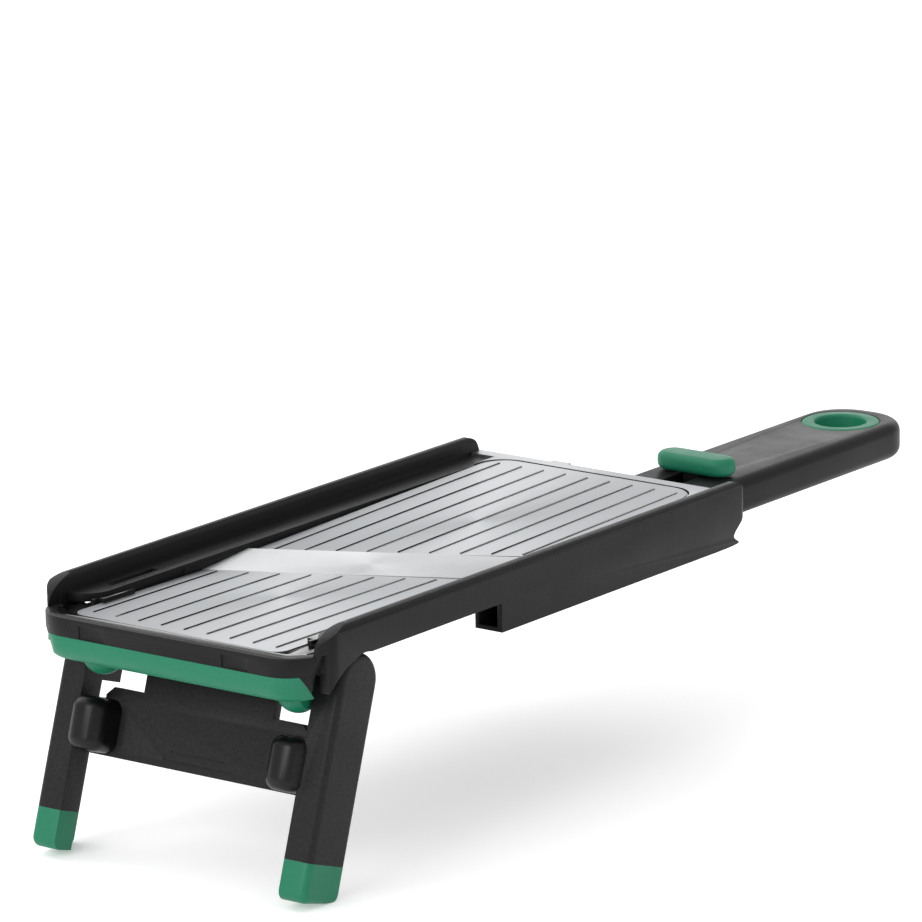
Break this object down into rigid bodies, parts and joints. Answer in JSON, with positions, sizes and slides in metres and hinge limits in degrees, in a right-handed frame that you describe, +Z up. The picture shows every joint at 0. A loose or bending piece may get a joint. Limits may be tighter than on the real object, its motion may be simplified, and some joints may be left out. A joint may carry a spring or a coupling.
{
  "type": "mandoline slicer",
  "caption": "Handheld mandoline slicer with a skewed blade between grooved steel plates, raised side rails, a folding leg frame, a sliding thickness control and a handle with a hang hole.",
  "frame": {"origin": "on the surface the feet stand on, under the middle of the overall box", "axes": "+X along the deck towards the handle, +Y to the left-hand side of the user, +Z up out of the grooved deck"},
  "size_m": [0.327, 0.0944, 0.0725],
  "materials": {
    "black_moulding": "fine textured matte moulding",
    "black_gloss": "polished moulding",
    "green_soft": "satin soft-touch overmould",
    "brushed_plate": "lengthwise brushed stainless steel",
    "blade_steel": "ground stainless steel",
    "screw_steel": "plain bright steel"
  },
  "bodies": {
    "frame": {"body_frame": "black_moulding", "front_trim": "black_moulding", "bumper_band": "green_soft", "bumper_pads": "green_soft", "front_plate": "brushed_plate", "front_plate_carrier": "black_gloss", "blade": "blade_steel", "blade_bed": "black_moulding", "blade_screws": "screw_steel", "rear_rim": "brushed_plate", "feed_hinge_pin": "screw_steel", "handle_upper": "black_moulding", "handle_lower": "black_moulding", "handle_screws": "screw_steel", "hang_ring": "green_soft", "detent_rack": "black_moulding", "leg_hinge_pins": "screw_steel", "leg_detent_leaf": "screw_steel", "leg_detent_screws": "screw_steel"},
    "feed_deck": {"feed_plate": "brushed_plate", "feed_plate_carrier": "black_gloss", "feed_follower_pin": "screw_steel"},
    "slider": {"thickness_slider": "green_soft", "slider_carriage": "black_moulding", "slider_screw": "screw_steel", "slider_detent_leaf": "screw_steel"},
    "legs": {"leg_frame": "black_moulding", "left_foot": "green_soft", "right_foot": "green_soft"}
  },
  "joints": [
    {"name": "thickness_slide", "type": "slide", "parent": "frame", "child": "slider", "axis": [-1, 0, 0], "range_m": [0, 0.024]},
    {"name": "feed_tilt", "type": "hinge", "parent": "frame", "child": "feed_deck", "pos_m": [0.02074, 0, 0.0635], "axis": [0, -1, 0], "range_deg": [0, 3.5]},
    {"name": "leg_fold", "type": "hinge", "parent": "frame", "child": "legs", "pos_m": [-0.13895, 0, 0.0549], "axis": [0, -1, 0], "range_deg": [0, 108.3]}
  ],
  "couplings": [
    {"joint": "feed_tilt", "follows": "thickness_slide", "rad_per_m": 2.5452}
  ]
}
